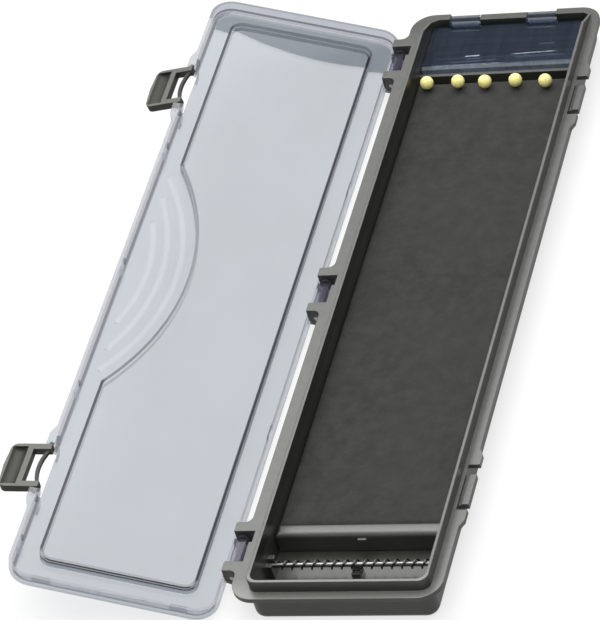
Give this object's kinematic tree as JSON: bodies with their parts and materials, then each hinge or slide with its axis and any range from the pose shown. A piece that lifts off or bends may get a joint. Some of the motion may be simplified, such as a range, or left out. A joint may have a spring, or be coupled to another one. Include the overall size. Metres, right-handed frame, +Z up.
{
  "type": "fishing rig box",
  "caption": "Long shallow rig box with a foam board, ball-headed pins, a hook spring on a rod, a covered hook compartment and a clear hinged lid with pivoting latches.",
  "frame": {"origin": "centre of the tray's flat underside", "axes": "+X to the latch side, -X to the hinge side, +Y along the box to the hook compartment, +Z up; the lid is stored open beside the tray"},
  "size_m": [0.1911, 0.35, 0.0321],
  "materials": {
    "tray_plastic": "satin olive grey moulding",
    "foam": "closed-cell foam, very matt",
    "rail_plastic": "satin",
    "steel": "bright drawn wire",
    "pin_head": "glossy pale yellow",
    "clear_plastic": "clear styrene with a light mist",
    "tinted_plastic": "clear, slightly blue",
    "latch_plastic": "satin olive moulding"
  },
  "bodies": {
    "tray": {"tray": "tray_plastic", "foam_board": "foam", "cross_rail": "rail_plastic", "spring_rod": "steel", "hook_spring": "steel", "hinge_pin_far": "steel", "hinge_pin_mid": "steel", "hinge_pin_near": "steel"},
    "lid": {"lid": "clear_plastic"},
    "latch_far": {"latch_far": "latch_plastic"},
    "latch_near": {"latch_near": "latch_plastic"},
    "hook_flap": {"hook_flap": "tinted_plastic"},
    "pin_1": {"pin_head_1": "pin_head", "pin_needle_1": "steel"},
    "pin_2": {"pin_head_2": "pin_head", "pin_needle_2": "steel"},
    "pin_3": {"pin_head_3": "pin_head", "pin_needle_3": "steel"},
    "pin_4": {"pin_head_4": "pin_head", "pin_needle_4": "steel"},
    "pin_5": {"pin_head_5": "pin_head", "pin_needle_5": "steel"}
  },
  "joints": [
    {"name": "lid_hinge", "type": "hinge", "parent": "tray", "child": "lid", "pos_m": [-0.0456, 0, 0.0101], "axis": [0, 1, 0], "range_deg": [0, 162.43]},
    {"name": "latch_far_pivot", "type": "hinge", "parent": "lid", "child": "latch_far", "pos_m": [-0.13047, 0.1163, 0.02994], "axis": [0, 1, 0], "range_deg": [-40, 115.6]},
    {"name": "latch_near_pivot", "type": "hinge", "parent": "lid", "child": "latch_near", "pos_m": [-0.13047, -0.1163, 0.02994], "axis": [0, 1, 0], "range_deg": [-40, 105.2]},
    {"name": "hook_flap_hinge", "type": "hinge", "parent": "tray", "child": "hook_flap", "pos_m": [0, 0.1732, 0.0132], "axis": [1, 0, 0], "range_deg": [-95, 0]},
    {"name": "pin_1_slide", "type": "slide", "parent": "tray", "child": "pin_1", "axis": [0, 0, -1], "range_m": [-0.009, 0]},
    {"name": "pin_2_slide", "type": "slide", "parent": "tray", "child": "pin_2", "axis": [0, 0, -1], "range_m": [-0.009, 0]},
    {"name": "pin_3_slide", "type": "slide", "parent": "tray", "child": "pin_3", "axis": [0, 0, -1], "range_m": [-0.009, 0]},
    {"name": "pin_4_slide", "type": "slide", "parent": "tray", "child": "pin_4", "axis": [0, 0, -1], "range_m": [-0.009, 0]},
    {"name": "pin_5_slide", "type": "slide", "parent": "tray", "child": "pin_5", "axis": [0, 0, -1], "range_m": [-0.009, 0]}
  ]
}
